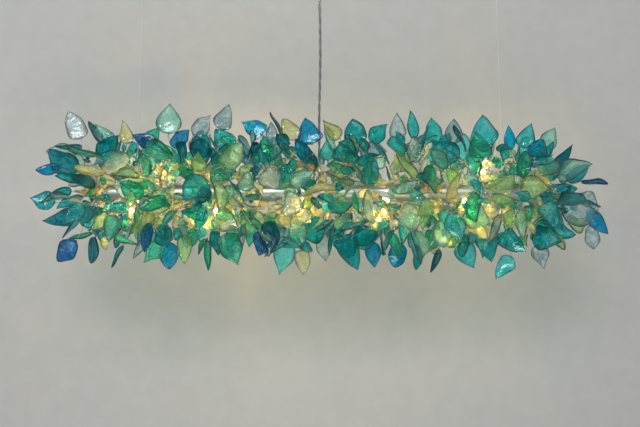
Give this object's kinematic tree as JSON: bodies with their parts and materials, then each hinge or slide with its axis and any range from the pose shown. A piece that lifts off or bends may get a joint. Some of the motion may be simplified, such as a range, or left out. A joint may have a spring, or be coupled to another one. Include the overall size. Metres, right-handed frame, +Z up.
{
  "type": "linear glass leaf chandelier",
  "caption": "Long horizontal metal tube light with capsule bulbs, wrapped in a cloud of coloured glass leaves on wires, hung on two steel cables with a central power cord.",
  "frame": {"origin": "middle of the ceiling bracket's top face, which lies against the ceiling", "axes": "+Z up into the ceiling, +X along the tube, -Y to the front"},
  "size_m": [1.1036, 0.2654, 0.6071],
  "materials": {
    "zinc_steel": "zinc plated",
    "white_enamel": "satin white enamel",
    "bright_chrome": "polished",
    "steel_cable": "fine stranded wire",
    "satin_steel": "brushed along the tube",
    "grey_plastic": "moulded",
    "white_plastic": "moulded",
    "clear_sheath": "clear flexible sheath over twisted cores",
    "holder_ceramic": "unglazed",
    "bulb_glass": "clear capsule, lit",
    "leaf_glass": "hand-worked glass in sea colours"
  },
  "bodies": {
    "ceiling": {"ceiling_bracket": "zinc_steel", "cover_screw_left": "bright_chrome", "cover_screw_right": "bright_chrome", "cord_clamp": "grey_plastic", "terminal_block": "white_plastic", "anchor_base_left": "bright_chrome", "anchor_cap_left": "bright_chrome", "anchor_base_right": "bright_chrome", "anchor_cap_right": "bright_chrome"},
    "cover": {"rose_cover": "white_enamel"},
    "light": {"suspension_cable_left": "steel_cable", "suspension_cable_right": "steel_cable", "cable_gripper_left": "bright_chrome", "cable_gripper_right": "bright_chrome", "power_cord": "clear_sheath", "cord_gland": "bright_chrome", "light_tube": "satin_steel", "end_cap_left": "satin_steel", "end_cap_right": "satin_steel", "wiring_loom": "grey_plastic", "lamp_holder_1": "holder_ceramic", "lamp_holder_2": "holder_ceramic", "lamp_holder_3": "holder_ceramic", "lamp_holder_4": "holder_ceramic", "lamp_holder_5": "holder_ceramic", "lamp_holder_6": "holder_ceramic", "lamp_holder_7": "holder_ceramic", "leaf_spray_01": "leaf_glass", "leaf_spray_02": "leaf_glass", "leaf_spray_03": "leaf_glass", "leaf_spray_04": "leaf_glass", "leaf_spray_05": "leaf_glass", "leaf_spray_06": "leaf_glass", "leaf_spray_07": "leaf_glass", "leaf_spray_08": "leaf_glass", "leaf_spray_09": "leaf_glass", "leaf_spray_10": "leaf_glass", "leaf_spray_11": "leaf_glass", "leaf_spray_12": "leaf_glass", "leaf_spray_13": "leaf_glass", "leaf_spray_14": "leaf_glass", "leaf_spray_15": "leaf_glass", "leaf_spray_16": "leaf_glass", "leaf_spray_17": "leaf_glass", "leaf_spray_18": "leaf_glass", "leaf_spray_19": "leaf_glass", "leaf_spray_20": "leaf_glass", "leaf_spray_21": "leaf_glass", "leaf_spray_22": "leaf_glass", "leaf_spray_23": "leaf_glass", "leaf_spray_24": "leaf_glass"},
    "nozzle_left": {"release_nozzle_left": "bright_chrome"},
    "nozzle_right": {"release_nozzle_right": "bright_chrome"},
    "bulb_1": {"halogen_bulb_1": "bulb_glass"},
    "bulb_2": {"halogen_bulb_2": "bulb_glass"},
    "bulb_3": {"halogen_bulb_3": "bulb_glass"},
    "bulb_4": {"halogen_bulb_4": "bulb_glass"},
    "bulb_5": {"halogen_bulb_5": "bulb_glass"},
    "bulb_6": {"halogen_bulb_6": "bulb_glass"},
    "bulb_7": {"halogen_bulb_7": "bulb_glass"}
  },
  "joints": [
    {"name": "light_swing", "type": "hinge", "parent": "ceiling", "child": "light", "pos_m": [0, 0, -0.0168], "axis": [1, 0, 0], "range_deg": [-4, 4]},
    {"name": "cover_slide", "type": "slide", "parent": "ceiling", "child": "cover", "axis": [0, 0, -1], "range_m": [0, 0.04]},
    {"name": "nozzle_press_left", "type": "slide", "parent": "light", "child": "nozzle_left", "axis": [-0.0311, 0, -0.9995], "range_m": [0, 0.0022], "stiffness_N_per_m": 400, "springref_m": -0.0005},
    {"name": "nozzle_press_right", "type": "slide", "parent": "light", "child": "nozzle_right", "axis": [0.0311, 0, -0.9995], "range_m": [0, 0.0022], "stiffness_N_per_m": 400, "springref_m": -0.0005},
    {"name": "bulb_pull_1", "type": "slide", "parent": "light", "child": "bulb_1", "axis": [0, -0.5592, -0.829], "range_m": [0, 0.018]},
    {"name": "bulb_pull_2", "type": "slide", "parent": "light", "child": "bulb_2", "axis": [0, -0.5592, -0.829], "range_m": [0, 0.018]},
    {"name": "bulb_pull_3", "type": "slide", "parent": "light", "child": "bulb_3", "axis": [0, -0.5592, -0.829], "range_m": [0, 0.018]},
    {"name": "bulb_pull_4", "type": "slide", "parent": "light", "child": "bulb_4", "axis": [0, -0.5592, -0.829], "range_m": [0, 0.018]},
    {"name": "bulb_pull_5", "type": "slide", "parent": "light", "child": "bulb_5", "axis": [0, -0.5592, -0.829], "range_m": [0, 0.018]},
    {"name": "bulb_pull_6", "type": "slide", "parent": "light", "child": "bulb_6", "axis": [0, 0, 1], "range_m": [0, 0.018]},
    {"name": "bulb_pull_7", "type": "slide", "parent": "light", "child": "bulb_7", "axis": [0, 0, 1], "range_m": [0, 0.018]}
  ]
}
